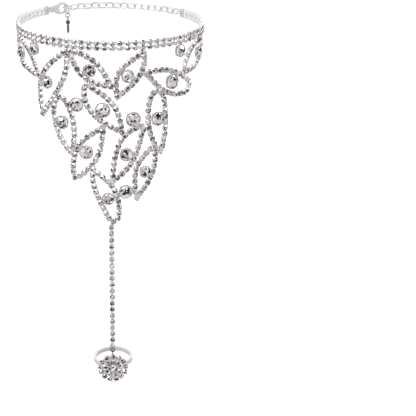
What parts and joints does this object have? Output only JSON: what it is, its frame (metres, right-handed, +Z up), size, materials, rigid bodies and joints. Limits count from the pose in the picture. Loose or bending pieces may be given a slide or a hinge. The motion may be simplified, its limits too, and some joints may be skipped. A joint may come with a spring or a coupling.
{
  "type": "barefoot sandal jewellery",
  "caption": "Silver barefoot sandal: a stone-set ankle band with clasp and extension chain, a web of cup chain leaves, a strand down the instep and a toe ring with a stone flower.",
  "frame": {"origin": "centre of the ankle loop, half way up the band", "axes": "+Z up along the leg, -Y to the front of the foot where the web hangs, +X to the side"},
  "size_m": [0.088, 0.0904, 0.1681],
  "materials": {
    "silver": "bright rhodium plate",
    "crystal": "cut and foil backed, clear"
  },
  "bodies": {
    "sandal": {"band": "silver", "end_plate_left": "silver", "end_plate_right": "silver", "jump_ring_left": "silver", "jump_ring_right": "silver", "clasp_body": "silver", "extension_chain": "silver", "tail_link": "silver", "tail_ring": "silver", "tail_bead": "silver", "tail_pin": "silver", "leaf_side_left": "silver", "leaf_left": "silver", "leaf_front_left": "silver", "leaf_front_right": "silver", "leaf_right": "silver", "leaf_side_right": "silver", "leaf_centre": "silver", "leaf_mid_left": "silver", "leaf_lower_left": "silver", "leaf_lower_middle": "silver", "leaf_lower_right": "silver", "leaf_mid_right": "silver", "leaf_bottom": "silver", "stone_side_left": "crystal", "stone_left": "crystal", "stone_front_left": "crystal", "stone_front_right": "crystal", "stone_right": "crystal", "stone_side_right": "crystal", "stone_centre": "crystal", "stone_mid_left": "crystal", "stone_between_left": "crystal", "stone_lower_left": "crystal", "stone_between_right": "crystal", "stone_lower_middle": "crystal", "stone_lower_right": "crystal", "stone_mid_right": "crystal", "stone_bottom": "crystal", "stone_between_bottom": "crystal", "stone_band_left": "crystal", "stone_band_right": "crystal", "strand_cups": "silver", "strand_stones": "crystal", "drop_ring": "silver"},
    "lever": {"clasp_lever": "silver"},
    "toe_drop": {"toe_ring": "silver", "flower_setting": "silver", "flower_stones": "crystal", "flower_centre_stone": "crystal"}
  },
  "joints": [
    {"name": "clasp_lever_turn", "type": "hinge", "parent": "sandal", "child": "lever", "pos_m": [-0.0264, 0.03394, -0.0022], "axis": [0.6033, -0.7975, 0], "range_deg": [0, 20], "stiffness_Nm_per_rad": 0.01, "springref_deg": -17.19},
    {"name": "toe_ring_swing", "type": "hinge", "parent": "sandal", "child": "toe_drop", "pos_m": [0, -0.043, -0.14975], "axis": [1, 0, 0], "range_deg": [-60, 60]}
  ]
}
